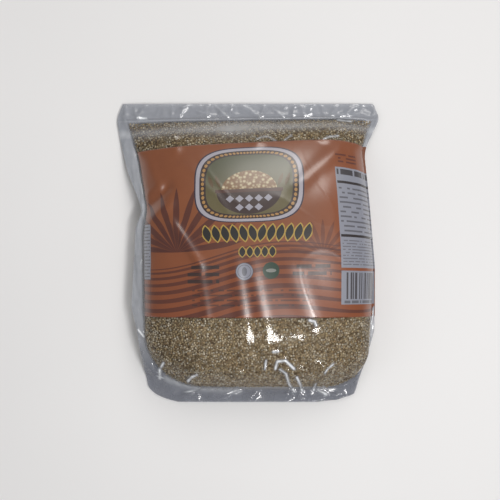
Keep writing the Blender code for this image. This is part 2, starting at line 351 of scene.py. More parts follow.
def form(y, place, back=False):
    """Points of the bag for y along it and place across it: -2 and 2 are the film's edges, and
    -1 and 1 the quinoa's sides."""
    y, place = np.broadcast_arrays(np.asarray(y, float), np.asarray(place, float))
    left = fill_side(FILL_LEFT, CORNER_LEFT, y)
    right = fill_side(FILL_RIGHT, CORNER_RIGHT, y)
    film_left = rounded_along(FILM_LEFT, y, EDGE_ROUNDING)
    film_right = rounded_along(FILM_RIGHT, y, EDGE_ROUNDING)
    spread = SPREAD_AT_END * ease(past_fill(y))
    left = left + (film_left - left) * spread
    right = right + (film_right - right) * spread
    share = place.clip(-1, 1)
    margin = (np.abs(place) - 1).clip(0)
    width = np.where(place < 0, left - film_left, film_right - right)
    x = (left + right) / 2 + share * (right - left) / 2 + np.sign(place) * margin * width
    droop = margin * np.minimum(MARGIN_DROOP * width, seam_height(y) - SEAM_AT_BAG_END)
    height = back_height(y, share) if back else face_height(x, y, share)
    return np.stack([x, bent(y, share), height - droop], axis=-1)


def normals(points):
    """Unit normals of a grid of points, up where the grid runs to +Y and then to +X."""
    across = np.gradient(points, axis=1)
    up = np.gradient(points, axis=0)
    normal = np.cross(across, up)
    return normal / np.linalg.norm(normal, axis=-1, keepdims=True).clip(1e-9)


def spaced_shares(steps):
    """Shares from -1 to 1, closer together at the two sides, where the film turns down."""
    t = np.linspace(0, 1, steps + 1)
    return (1 - EVEN_SHARE) * np.sin(math.pi * (t - 0.5)) + EVEN_SHARE * (2 * t - 1)


def places_across(steps, margin_steps):
    """Places from one film edge to the other."""
    margin = np.linspace(2, 1, margin_steps + 1)[:-1]
    return np.concatenate([-margin, spaced_shares(steps), margin[::-1]])


def new_mesh(name, points, faces, attributes=()):
    """A smooth object from points in millimetres and equal-sided faces, on the bag's body."""
    mesh = bpy.data.meshes.new(name)
    corners = faces.shape[1]
    mesh.vertices.add(points.size // 3)
    mesh.vertices.foreach_set("co", (points * MM).astype(np.float32).ravel())
    mesh.loops.add(faces.size)
    mesh.loops.foreach_set("vertex_index", faces.astype(np.int32).ravel())
    mesh.polygons.add(len(faces))
    mesh.polygons.foreach_set("loop_start", np.arange(0, faces.size, corners, dtype=np.int32))
    mesh.update(calc_edges=True)
    for key, values in dict(attributes).items():
        layer = mesh.attributes.new(key, "FLOAT", "POINT")
        layer.data.foreach_set("value", values.astype(np.float32).ravel())
    mesh.shade_smooth()
    made = bpy.data.objects.new(name, mesh)
    bpy.context.scene.collection.objects.link(made)
    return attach(made, "root")


def grid_faces(rows, columns, flipped=False):
    """Four-sided faces of a grid of points with this many rows and columns."""
    index = np.arange(rows * columns).reshape(rows, columns)
    corners = [index[:-1, :-1], index[:-1, 1:], index[1:, 1:], index[1:, :-1]]
    faces = np.stack(corners, axis=-1).reshape(-1, 4)
    return faces[:, ::-1] if flipped else faces


# Materials


def linear(red, green, blue):
    """A shader colour from one of 0 to 255 as a screen shows it."""
    shown = np.array([red, green, blue]) / 255
    scene = np.where(shown <= 0.04045, shown / 12.92, ((shown + 0.055) / 1.055) ** 2.4)
    return (*scene.tolist(), 1.0)


class Nodes:
    """The node tree of a new material, with short calls for the nodes used here."""

    def __init__(self, name):
        self.material = bpy.data.materials.new(name)
        self.material.use_nodes = True
        self.tree = self.material.node_tree
        self.tree.nodes.clear()

    def add(self, kind, settings=(), **inputs):
        """A node with these settings, and inputs as values or as the sockets that feed them."""
        node = self.tree.nodes.new(kind)
        for key, value in dict(settings).items():
            setattr(node, key, value)
        for key, value in inputs.items():
            self.put(node.inputs[key.replace("_", " ")], value)
        return node

    def put(self, socket, value):
        if isinstance(value, bpy.types.NodeSocket):
            self.tree.links.new(value, socket)
        else:
            socket.default_value = value

    def math(self, operation, *values, clamp=False):
        node = self.tree.nodes.new("ShaderNodeMath")
        node.operation = operation
        node.use_clamp = clamp
        for socket, value in zip(node.inputs, values):
            self.put(socket, value)
        return node.outputs[0]

    def scaled(self, value, by, plus):
        return self.math("MULTIPLY_ADD", value, by, plus)

    def mix(self, share, first, second):
        node = self.tree.nodes.new("ShaderNodeMix")
        node.data_type = "RGBA"
        self.put(node.inputs[0], share)
        self.put(node.inputs[6], first)
        self.put(node.inputs[7], second)
        return node.outputs[2]

    def ramp(self, value, low, high, first=0.0, last=1.0):
        """The value's place between low and high as a smooth step from first to last."""
        node = self.add(
            "ShaderNodeMapRange", {"interpolation_type": "SMOOTHSTEP"},
            Value=value, From_Min=low, From_Max=high, To_Min=first, To_Max=last,
        )
        return node.outputs[0]

    def attribute(self, name):
        return self.add("ShaderNodeAttribute", {"attribute_name": name}).outputs["Fac"]

    def place(self):
        return self.add("ShaderNodeTexCoord").outputs["Object"]

    def noise(self, scale, detail, roughness=0.5):
        node = self.add("ShaderNodeTexNoise", Scale=scale, Detail=detail, Roughness=roughness)
        self.put(node.inputs["Vector"], self.place())
        return node.outputs[0]

    def bump(self, height, distance, strength):
        node = self.add("ShaderNodeBump", Height=height, Distance=distance, Strength=strength)
        return node.outputs[0]

    def surface(self, shader):
        output = self.tree.nodes.new("ShaderNodeOutputMaterial")
        self.tree.links.new(shader.outputs[0], output.inputs["Surface"])
        return self.material


FILM_ROUGHNESS = 0.09
MILK_MOST = 0.55


def film_material():
    """Clear film: see-through with a gloss, and milky by the share in an attribute that also holds
    the creases' painted highlights, in a tone that is dull or bright by an attribute of painted
    light and shade."""
    nodes = Nodes("clear_film")
    seed_marks = nodes.math("MULTIPLY", nodes.noise(420.0, 1.0), 0.3)
    waves = nodes.noise(60.0, 3.0, 0.6)
    normal = nodes.bump(nodes.math("ADD", seed_marks, waves), 0.0005, 0.4)
    see = nodes.add("ShaderNodeBsdfTransparent", Color=linear(250, 250, 251))
    gloss = nodes.add("ShaderNodeBsdfGlossy", Roughness=FILM_ROUGHNESS, Normal=normal)
    fresnel = nodes.add("ShaderNodeFresnel", IOR=1.55, Normal=normal).outputs[0]
    share = nodes.math("MULTIPLY_ADD", fresnel, 0.40, 0.024, clamp=True)
    clear_film = nodes.add("ShaderNodeMixShader", Fac=share)
    nodes.tree.links.new(see.outputs[0], clear_film.inputs[1])
    nodes.tree.links.new(gloss.outputs[0], clear_film.inputs[2])
    # The milk's tone holds painted shade, darker at the lower end, and painted highlights along the
    # creases.
    tone = nodes.mix(nodes.attribute("tone_and_painted_light"), linear(137, 141, 152), linear(247, 251, 255))
    milk = nodes.add(
        "ShaderNodeBsdfPrincipled", Base_Color=tone, Roughness=FILM_ROUGHNESS * 2, Normal=normal
    )
    mottle = nodes.scaled(nodes.noise(38.0, 3.0, 0.6), 0.9, 0.45)
    haze_and_painted_glints = nodes.math("MULTIPLY", nodes.attribute("haze_and_painted_glints"), MILK_MOST)
    haze_and_painted_glints = nodes.math("MULTIPLY", haze_and_painted_glints, mottle, clamp=True)
    mixed = nodes.add("ShaderNodeMixShader", Fac=haze_and_painted_glints)
    nodes.tree.links.new(clear_film.outputs[0], mixed.inputs[1])
    nodes.tree.links.new(milk.outputs[0], mixed.inputs[2])
    return nodes.surface(mixed)


# Film


def creases(x, y, reach, width, turn, stretch, seed):
    """Thin ridges, from 0 to 1, that wander over a grid of places. Their loops are about as large
    as reach, and stretched along the direction turn."""
    c, s = math.cos(turn), math.sin(turn)
    first = (x * c + y * s) / (reach * stretch)
    second = (y * c - x * s) / reach
    level = np.array([
        noise.noise(Vector((a, b, seed)))
        for a, b in zip(first.ravel().tolist(), second.ravel().tolist())
    ]).reshape(x.shape)
    return np.exp(-((level * reach * CREASE_SLOPE / width) ** 2))


def looseness(place, y):
    """0 where quinoa fills the film and 1 where the face and the back lie on each other."""
    side = ease((np.abs(place) - 1) * LOOSE_RISE_SIDE)
    return np.maximum(side, ease(past_fill(y) * LOOSE_RISE_END))


def film_relief(points, place, y):
    """Heights of the film's own folds and creases, where it is taut and where it is loose."""
    x, across = points[..., 0], points[..., 1]
    loose = looseness(place, y)
    slack = sum(height * creases(x, across, *loops) for height, *loops in SLACK_CREASES)
    taut = sum(height * creases(x, across, *loops) for height, *loops in TAUT_CREASES)
    folds = fold_height(FINE_FOLDS, x, across) + crease_heights_and_painted_glints(x, across)[0]
    folds = folds + ridge_height(x, across)
    ribs = sum(
        height * np.exp(-(((y - level) / half_width) ** 2))
        for level, half_width, height in SEAL_RIBS
    )
    edge = ease((2 - np.abs(place)) / RELIEF_FADE_SIDE)
    edge = edge * ease((HALF_LENGTH - np.abs(y)) / RELIEF_FADE_END)
    return (folds + taut) * (1 - loose) * edge, (folds + slack + ribs) * loose * edge


def film_haze_and_painted_light(points, place, y):
    """Share of milkiness, and the tone of the milk, which carries painted light and shade. There is
    none over most of the quinoa, more in the double film round it, and most along the creases,
    where it is a painted highlight."""
    margin = ease((np.abs(place) - 1) * MILK_RISE_SIDE)
    ends = ease(past_fill(y) * MILK_RISE_END)
    milky = np.maximum(margin, ends) * np.where(y > 0, MILK_UPPER, MILK_LOWER)
    middle = np.exp(-(((points[..., 0] - CREASE_MIDDLE) / CREASE_REACH) ** 2))
    width = CREASE_WIDTH + CREASE_WIDTH_GAIN * middle
    crease = (CREASE_MILK + CREASE_MILK_GAIN * middle) * (1 - ends)
    crease = crease * np.exp(-(((y - CREASE_Y) / width) ** 2))
    seal = SEAL_MILK * np.exp(-(((y - FILL_TOP - SEAL_PAST_FILL) / SEAL_HALF_WIDTH) ** 2))
    haze_and_painted_glints = np.maximum(np.maximum(milky, crease), seal)
    # Painted shade: the milk is darker towards the lower end of the bag and near the top.
    fall = PAINTED_SHADE_TOP * ease((y - PAINTED_SHADE_TOP_START) / PAINTED_SHADE_TOP_LENGTH)
    tone_and_painted_light = PAINTED_LIGHT_SIDES * ease((y - PAINTED_LIGHT_START) / PAINTED_LIGHT_RISE) * (1 - fall)
    tone_and_painted_light = np.maximum(tone_and_painted_light, CREASE_PALE * crease)
    # Painted highlights: the creases' whiteness stands in for the glints on them.
    white = crease_heights_and_painted_glints(points[..., 0], points[..., 1])[1]
    return {"haze_and_painted_glints": np.maximum(haze_and_painted_glints, MILK_PAINTED_GLINTS * white), "tone_and_painted_light": np.maximum(tone_and_painted_light, white)}


def make_film():
    """The clear film in two pieces, over the shown face and over the back."""
    rows = np.linspace(-HALF_LENGTH, HALF_LENGTH, FACE_ROWS + 1)
    places = places_across(FACE_STEPS, MARGIN_STEPS)
    y, place = np.meshgrid(rows, places, indexing="ij")
    face = form(y, place)
    taut, slack = film_relief(face, place, y)
    under = ease((y - LABEL_BOTTOM - SUNK_INSET) / SUNK_RAMP)
    under = under * ease((LABEL_TOP - SUNK_INSET - y) / SUNK_RAMP)
    under = under * ease((np.minimum(place, 1) - SUNK_LEFT) / SUNK_LEFT_RAMP)
    face = face + normals(face) * (taut + slack - SUNK * under)[..., None]
    back = form(y, place, back=True)
    back = back + normals(back) * slack[..., None]
    closing = (FILM_THICK - FILM_GAP) / 2 * looseness(place, y)
    face[..., 2] -= closing
    back[..., 2] += closing
    face_film = new_mesh("film_face", face, grid_faces(*y.shape), film_haze_and_painted_light(face, place, y))
    coarse = (slice(None, None, 2), slice(None, None, 2))
    back, place, y = back[coarse], place[coarse], y[coarse]
    back_film = new_mesh(
        "film_back", back, grid_faces(*y.shape, flipped=True), film_haze_and_painted_light(back, place, y)
    )
    clear = film_material()
    for film in (face_film, back_film):
        film.data.materials.append(clear)
        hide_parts("bag")


# Quinoa


# Seeds: places drawn for each square millimetre, the grid that they are drawn on and how far it
# stops short, the least distance between seeds, and the least thickness of the bag there.
SAMPLE_DENSITY = 0.9
SAMPLE_STEPS = 170
SAMPLE_INSET = 0.8
GRAIN_SPACING = 1.66
LEAST_THICK_FRONT = 1.4
LEAST_THICK_BACK = 5.0

# How far the seeds run on under the label: in millimetres at its long edges, up to a share across
# the bag at its left end, and by a share at its end on the back.
LAP = 3.0
LAP_LEFT = -0.985
LAP_BACK = 0.02

# One seed: its radius, the corners, reach and half height of its rim, and its half depth.
GRAIN_RADIUS = 1.0
RIM_CORNERS = 6
RIM_REACH = 0.95
RIM_HEIGHT = 0.24
HALF_DEPTH = 0.56

# How seeds differ: spread of their tilt, share and tilts of those on edge, spread and limits of
# the radius, flatness, roundness, and how deep they lie under the film.
TILT_SPREAD = 0.38
ON_EDGE = 0.09
ON_EDGE_TILTS = (0.9, 1.5)
RADIUS_SPREAD = 0.07
RADIUS_LIMITS = (0.82, 1.2)
FLATNESS = (0.9, 1.15)
ROUNDNESS = (0.88, 1.0)
UNDER_FILM = 0.12
DEPTH_SPREAD = 0.6
LEAST_DEPTH = 0.3

# The body of the heap: how far it lies inside the film, at its two ends too, its grid, and the
# least share of the bag's thickness that it keeps.
CORE_INSET = 2.1
CORE_INSET_LOWER = 2.5
CORE_INSET_UPPER = 3.0
CORE_ROWS = 200
CORE_STEPS = 190
CORE_LEAST = 0.04

# Each tint of seed and its share of all seeds.
TINTS = {
    "grains_cream": (linear(238, 227, 203), 0.25),
    "grains_tan": (linear(225, 207, 173), 0.32),
    "grains_gold": (linear(208, 185, 141), 0.22),
    "grains_brown": (linear(180, 153, 110), 0.14),
    "grains_dark": (linear(140, 114, 81), 0.07),
}


def grain_shape():
    """Points, triangles and rim weights of one flat round seed of radius 1."""
    count = RIM_CORNERS
    turn = 2 * math.pi * np.arange(count) / count
    rings = [
        np.stack([RIM_REACH * np.cos(t), RIM_REACH * np.sin(t), np.full(count, height)], -1)
        for t, height in ((turn, RIM_HEIGHT), (turn + math.pi / count, -RIM_HEIGHT))
    ]
    points = np.concatenate([[[0, 0, HALF_DEPTH]], *rings, [[0, 0, -HALF_DEPTH]]])
    faces = []
    for k in range(count):
        after = (k + 1) % count
        a, b, c, d = 1 + k, 1 + after, 1 + count + k, 1 + count + after
        faces += [(0, a, b), (a, c, b), (b, c, d), (2 * count + 1, d, c)]
    rim = np.ones(len(points))
    rim[[0, -1]] = 0.0
    return points, np.array(faces), rim


def thinned(points, spacing):
    """Indices of the points that are kept, in order, so that none lie closer than the spacing."""
    cells, kept = {}, []
    keys = np.floor(points / spacing).astype(int).tolist()
    for index, (key, point) in enumerate(zip(keys, points.tolist())):
        near = [
            cells[other]
            for dx in (-1, 0, 1) for dy in (-1, 0, 1) for dz in (-1, 0, 1)
            if (other := (key[0] + dx, key[1] + dy, key[2] + dz)) in cells
        ]
        if all(math.dist(point, other) >= spacing for group in near for other in group):
            cells.setdefault(tuple(key), []).append(point)
            kept.append(index)
    return np.array(kept)


def surface_samples(back, draw):
    """Random points on one side of the quinoa, with their normals, Y and shares across it."""
    rows = np.linspace(FILL_BOTTOM + SAMPLE_INSET, FILL_TOP - SAMPLE_INSET, SAMPLE_STEPS)
    y, share = np.meshgrid(rows, spaced_shares(SAMPLE_STEPS), indexing="ij")
    points = form(y, share, back)
    normal = normals(points) * (-1 if back else 1)
    across = points[:-1, 1:] - points[:-1, :-1]
    up = points[1:, :-1] - points[:-1, :-1]
    area = np.linalg.norm(np.cross(across, up), axis=-1)
    count = draw.poisson(area * SAMPLE_DENSITY)
    row, column = np.nonzero(count)
    repeat = np.repeat(np.arange(len(row)), count[row, column])
    row, column = row[repeat], column[repeat]
    u, v = draw.random(len(row))[:, None], draw.random(len(row))[:, None]

    def between(values):
        low = values[row, column] * (1 - u) + values[row, column + 1] * u
        high = values[row + 1, column] * (1 - u) + values[row + 1, column + 1] * u
        return low * (1 - v) + high * v

    y_here = between(y[..., None])[:, 0]
    share_here = between(share[..., None])[:, 0]
    return between(points), between(normal), y_here, share_here


def turned(normal, tilt, spin, heading):
    """Rotation matrices that lay a seed on the surface, tilted from it and spun on itself."""
    helper = np.where(np.abs(normal[:, 2:]) < 0.9, [[0.0, 0.0, 1.0]], [[1.0, 0.0, 0.0]])
    side = np.cross(helper, normal)
    side /= np.linalg.norm(side, axis=1, keepdims=True)
    ahead = np.cross(normal, side)
    lean = side * np.cos(heading)[:, None] + ahead * np.sin(heading)[:, None]
    axis = normal * np.cos(tilt)[:, None] + lean * np.sin(tilt)[:, None]
    first = np.cross(axis, lean + 1e-6)
    first /= np.linalg.norm(first, axis=1, keepdims=True)
    second = np.cross(axis, first)
    c, s = np.cos(spin)[:, None], np.sin(spin)[:, None]
    return np.stack([first * c + second * s, second * c - first * s, axis], axis=-1)


def grain_material(name, tint):
    """Matt seed: duller at its rim than in the middle, and each seed a little lighter or darker."""
    nodes = Nodes(name)
    rim = nodes.attribute("rim")
    shade = nodes.attribute("shade")
    dull = tuple(0.88 * channel for channel in tint[:3]) + (1.0,)
    colour = nodes.mix(nodes.math("MULTIPLY", rim, 0.75), tint, dull)
    bright = nodes.scaled(shade, 0.46, 0.40)
    node = nodes.add("ShaderNodeHueSaturation", Color=colour)
    nodes.put(node.inputs["Value"], bright)
    shader = nodes.add(
        "ShaderNodeBsdfPrincipled", Base_Color=node.outputs[0], Roughness=0.55,
        Normal=nodes.bump(nodes.noise(2600.0, 1.0), 0.0001, 0.3),
    )
    return nodes.surface(shader)


def seeds_show(y, share, thick, back):
    """Whether film with no label lies over a place, and the bag is thick enough for seeds."""
    band = (LABEL_BOTTOM + LAP < y) & (y < LABEL_TOP - LAP)
    if back:
        return (thick > LEAST_THICK_BACK) & ~(band & (share > LABEL_BACK_SHARE + LAP_BACK))
    return (thick > LEAST_THICK_FRONT) & ~(band & (share > LAP_LEFT))


def make_grains():
    """Loose seeds against the film wherever it is clear, split by tint into one piece each."""
    draw = np.random.default_rng(SEED)
    batches = []
    for back in (False, True):
        point, normal, y, share = surface_samples(back, draw)
        thick = form(y, share)[:, 2] - form(y, share, back=True)[:, 2]
        seen = seeds_show(y, share, thick, back)
        batches.append((point[seen], normal[seen], thick[seen]))
    point, normal, thick = (np.concatenate(parts) for parts in zip(*batches))
    kept = thinned(point, GRAIN_SPACING)
    point, normal, thick = point[kept], normal[kept], thick[kept]
    count = len(point)
    tilt = np.abs(draw.normal(0, TILT_SPREAD, count))
    on_edge = draw.random(count) < ON_EDGE
    tilt = np.where(on_edge, draw.uniform(*ON_EDGE_TILTS, count), tilt)
    radius = GRAIN_RADIUS * draw.normal(1.0, RADIUS_SPREAD, count).clip(*RADIUS_LIMITS)
    flat = draw.uniform(*FLATNESS, count)
    half_depth = np.hypot(radius * np.sin(tilt), HALF_DEPTH * radius * flat * np.cos(tilt))
    depth = UNDER_FILM + half_depth + draw.random(count) ** 2 * DEPTH_SPREAD
    depth = np.minimum(depth, np.maximum(thick / 2, LEAST_DEPTH))
    centre = point - normal * depth[:, None]
    rotation = turned(
        normal, tilt, draw.uniform(0, 2 * math.pi, count), draw.uniform(0, 2 * math.pi, count)
    )
    shape, faces, rim = grain_shape()
    size = np.stack([radius, radius * draw.uniform(*ROUNDNESS, count), radius * flat], -1)
    placed = np.einsum("nij,nkj->nki", rotation, shape[None] * size[:, None, :])
    placed += centre[:, None, :]
    shade = draw.random(count)
    kinds = draw.choice(len(TINTS), count, p=[share for _, share in TINTS.values()])
    for kind, (name, (tint, _)) in enumerate(TINTS.items()):
        mine = np.flatnonzero(kinds == kind)
        start = np.arange(len(mine))[:, None, None] * len(shape)
        piece = new_mesh(
            name, placed[mine], (faces[None] + start).reshape(-1, 3),
            {"rim": np.tile(rim, len(mine)), "shade": np.repeat(shade[mine], len(shape))},
        )
        piece.data.materials.append(grain_material(name, tint))
        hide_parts("bag")


def make_core():
    """The body of the heap behind the loose seeds, as a closed form with seed-sized bumps."""
    rows = np.linspace(FILL_BOTTOM + CORE_INSET_LOWER, FILL_TOP - CORE_INSET_UPPER, CORE_ROWS)
    shares = spaced_shares(CORE_STEPS)
    y, share = np.meshgrid(rows, shares, indexing="ij")
    face, back = form(y, share), form(y, share, back=True)
    middle = (face + back) / 2
    half = (face - back) / 2
    thick = np.linalg.norm(half, axis=-1, keepdims=True)
    pull = np.maximum(1 - CORE_INSET / thick.clip(0.1), CORE_LEAST)
    centre_x = middle[:, len(shares) // 2, 0][:, None]
    wide = np.abs(middle[..., 0] - centre_x)
    narrower = 1 - CORE_INSET / wide.max(axis=1, keepdims=True)
    middle[..., 0] = centre_x + (middle[..., 0] - centre_x) * narrower
    face, back = middle + half * pull, middle - half * pull
    points = np.concatenate([face, back[:, ::-1]], axis=1)
    columns = points.shape[1]
    index = np.arange(CORE_ROWS * columns).reshape(CORE_ROWS, columns)
    after = np.roll(index, -1, axis=1)
    sides = np.stack([index[:-1], after[:-1], after[1:], index[1:]], -1).reshape(-1, 4)
    caps = []
    for line in (index[0], index[-1]):
        near, far = line[: columns // 2], line[columns // 2 :][::-1]
        caps.append(np.stack([near[:-1], far[:-1], far[1:], near[1:]], -1))
    faces = np.concatenate([sides, caps[0], caps[1][:, ::-1]])
    core = new_mesh("quinoa_core", points, faces)
    core.data.materials.append(core_material())
    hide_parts("bag")


def core_material():
    """Seed-sized cells in tan tones, with painted shade between them."""
    nodes = Nodes("quinoa_core")
    cells = nodes.add("ShaderNodeTexVoronoi", Scale=520.0, Vector=nodes.place())
    tone = nodes.add("ShaderNodeSeparateColor", Color=cells.outputs["Color"]).outputs[0]
    colour = nodes.mix(tone, linear(128, 107, 74), linear(198, 177, 140))
    # Painted shade: darker towards the edges of the cells, in the gaps between seeds.
    dark = nodes.ramp(cells.outputs["Distance"], 0.25, 0.65, 1.0, 0.6)
    shaded = nodes.add("ShaderNodeHueSaturation", Color=colour)
    nodes.put(shaded.inputs["Value"], dark)
    bump = nodes.bump(nodes.math("SUBTRACT", 1.0, cells.outputs["Distance"]), 0.001, 0.9)
    shader = nodes.add(
        "ShaderNodeBsdfPrincipled", Base_Color=shaded.outputs[0], Roughness=0.7, Normal=bump
    )
    return nodes.surface(shader)


# Label


# The label's grid, its left end as a share of the half width, how far it lies over the solid's
# face, and its thickness. Place 2 is the film's right edge, which it goes round.
LABEL_ROWS = 168
LABEL_STEPS = 250
LABEL_LEFT_SHARE = -0.9945
LABEL_LIFT = 0.42
LABEL_THICK = 0.12


def make_label():
    """The printed label, over the face and round the right side to the back, with how far each
    point lies across it from the middle and along it."""
    y = np.linspace(LABEL_BOTTOM, LABEL_TOP, LABEL_ROWS)[:, None]
    shares = spaced_shares(LABEL_STEPS)
    over = shares[shares > LABEL_LEFT_SHARE]
    under = shares[shares > LABEL_BACK_SHARE][::-1]
    front = form(y, np.append(over, 2.0))
    behind = form(y, np.insert(under, 0, 2.0), back=True)
    points = np.concatenate([front, behind], axis=1)
    columns = len(over)
    taut, slack = film_relief(points[:, :columns], over, y)
    height = np.full(points.shape[:2], LABEL_LIFT)
    height[:, :columns] += taut + slack
    points = points + normals(points) * height[..., None]
    step = np.linalg.norm(np.diff(points, axis=1), axis=-1)
    length = np.insert(np.cumsum(step, axis=1), 0, 0.0, axis=1)
    middle = np.array([
        np.interp(0.0, line[:columns, 0], far[:columns]) for line, far in zip(points, length)
    ])
    label = new_mesh(
        "label_print", points, grid_faces(*height.shape),
        {"across": length - middle[:, None], "along": np.broadcast_to(y, height.shape)},
    )
    label.data.materials.append(label_material())
    solid = label.modifiers.new("thickness", "SOLIDIFY")
    solid.thickness = LABEL_THICK * MM
    solid.offset = -1
    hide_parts("label")


class Print(Nodes):
    """Fields of colour painted one over another on the label, in millimetres across and along."""

    def __init__(self, name):
        super().__init__(name)
        self.u = self.attribute("across")
        self.v = self.attribute("along")
        self.colour = None

    def paint(self, mask, colour, share=1.0):
        if share < 1.0:
            mask = self.math("MULTIPLY", mask, share)
        self.colour = self.mix(mask, self.colour, colour)

    def both(self, *masks):
        mask = masks[0]
        for other in masks[1:]:
            mask = self.math("MULTIPLY", mask, other)
        return mask

    def box(self, left, right, bottom, top, u=None):
        across = self.math("COMPARE", u or self.u, (left + right) / 2, (right - left) / 2)
        along = self.math("COMPARE", self.v, (bottom + top) / 2, (top - bottom) / 2)
        return self.both(across, along)

    def below(self, value, limit):
        return self.math("LESS_THAN", value, limit)

    def above(self, value, limit):
        return self.math("GREATER_THAN", value, limit)

    def chance(self, number):
        """A random value from 0 to 1 that is the same wherever the number is."""
        node = self.add("ShaderNodeTexWhiteNoise", {"noise_dimensions": "1D"}, W=number)
        return node.outputs["Value"]

    def round(self, u0, v0, half_u, half_v, power=2.0):
        """1 on the oval about (u0, v0) with these half axes and less inside it."""
        across = self.math("ABSOLUTE", self.scaled(self.u, 1 / half_u, -u0 / half_u))
        along = self.math("ABSOLUTE", self.scaled(self.v, 1 / half_v, -v0 / half_v))
        across = self.math("POWER", across, power)
        along = self.math("POWER", along, power)
        return self.math("POWER", self.math("ADD", across, along), 1 / power)

    def cells(self, value, start, pitch):
        """The number of the cell that the value is in, and its place there from -0.5 to 0.5."""
        steps = self.scaled(value, 1 / pitch, -start / pitch)
        place = self.math("SUBTRACT", self.math("FRACT", steps), 0.5)
        return self.math("FLOOR", steps), place

    def dashes(self, left, right, bottom, top, rows, fill, word, seed, u=None):
        """Rows of plain bars of uneven length, made of steps as long as word."""
        row, along = self.cells(self.v, bottom, (top - bottom) / rows)
        cell, _ = self.cells(u or self.u, left, word)
        pick = self.scaled(row, 37.0, self.math("ADD", cell, seed))
        shown = self.above(self.chance(pick), 0.22)
        bar = self.math("COMPARE", along, 0.0, fill / 2)
        return self.both(self.box(left, right, bottom, top, u=u), shown, bar)

    def leaves(self, left, right, bottom, top, count, half_width, lean):
        """A row of upright leaves that lean away from its middle: below 1 inside a leaf."""
        pitch = (right - left) / count
        _, place = self.cells(self.u, left, pitch)
        up = self.math("SUBTRACT", self.v, (bottom + top) / 2)
        side = self.math("SIGN", self.math("SUBTRACT", self.u, (left + right) / 2))
        shift = self.both(up, side, -lean)
        off = self.math("ABSOLUTE", self.scaled(place, pitch, shift))
        tall = self.math("ABSOLUTE", self.math("MULTIPLY", up, 2 / (top - bottom)))
        tall = self.math("POWER", tall, 2.0)
        shape = self.scaled(off, 1 / half_width, tall)
        inside = self.box(left, right, bottom - 3, top + 3)
        return self.math("ADD", shape, self.scaled(inside, -9.0, 9.0))

    def fan(self, u0, v0, reach, petals):
        """Petals that spread upwards from one point."""
        across = self.math("SUBTRACT", self.u, u0)
        along = self.math("SUBTRACT", self.v, v0)
        turn = self.math("ARCTAN2", along, across)
        _, place = self.cells(turn, 0.0, math.pi / petals)
        square = self.math("ADD", self.both(across, across), self.both(along, along))
        far = self.math("MULTIPLY", self.math("SQRT", square), 1 / reach)
        width = self.scaled(self.math("POWER", far, 2.4), -0.44, 0.40)
        petal = self.below(self.math("ABSOLUTE", place), width)
        return self.both(petal, self.above(along, 0.0), self.below(far, 0.97))


# How dark the whole print is, and the colours that more than one part of it has.
PRINT_VALUE = 0.54
INK = linear(46, 34, 36)
RUST = linear(96, 40, 30)
PAPER = linear(174, 177, 192)

# The middle of the plate, and the height of the rim of the bowl on it.
PLATE_U = 1.0
PLATE_V = 59.0
BOWL_RIM = 54.0


def paint_ground(art):
    """Orange-brown, browner towards the lower edge and the right end, with leaf fans and bands."""
    tone = art.ramp(art.noise(26.0, 3.0, 0.6), 0.25, 0.75)
    art.colour = art.mix(tone, linear(158, 86, 42), linear(168, 94, 48))
    art.paint(art.ramp(art.v, 30.0, -56.0), linear(166, 82, 38), 0.6)
    art.paint(art.ramp(art.u, 50.0, 82.0), linear(170, 88, 38), 0.6)
    art.paint(art.fan(-62.0, 2.0, 60.0, 11), RUST, 0.86)
    art.paint(art.fan(-62.0, 2.0, 30.0, 8), RUST, 0.6)
    art.paint(art.fan(64.0, -2.0, 31.0, 9), RUST, 0.5)
    wave = art.math("SINE", art.scaled(art.u, 0.034, 0.9))
    wave = art.scaled(wave, 6.5, art.math("MULTIPLY", art.u, 0.09))
    low = art.math("SUBTRACT", art.math("ADD", wave, 1.0), art.v)
    step = art.math("POWER", art.math("MAXIMUM", low, 0.0), 0.72)
    step = art.math("FRACT", art.math("MULTIPLY", step, 0.46))
    swell = art.math("SINE", art.scaled(art.u, 0.021, 2.0))
    band = art.below(step, art.scaled(swell, 0.14, 0.40))
    art.paint(art.both(band, art.above(low, 0.0)), RUST, 0.78)


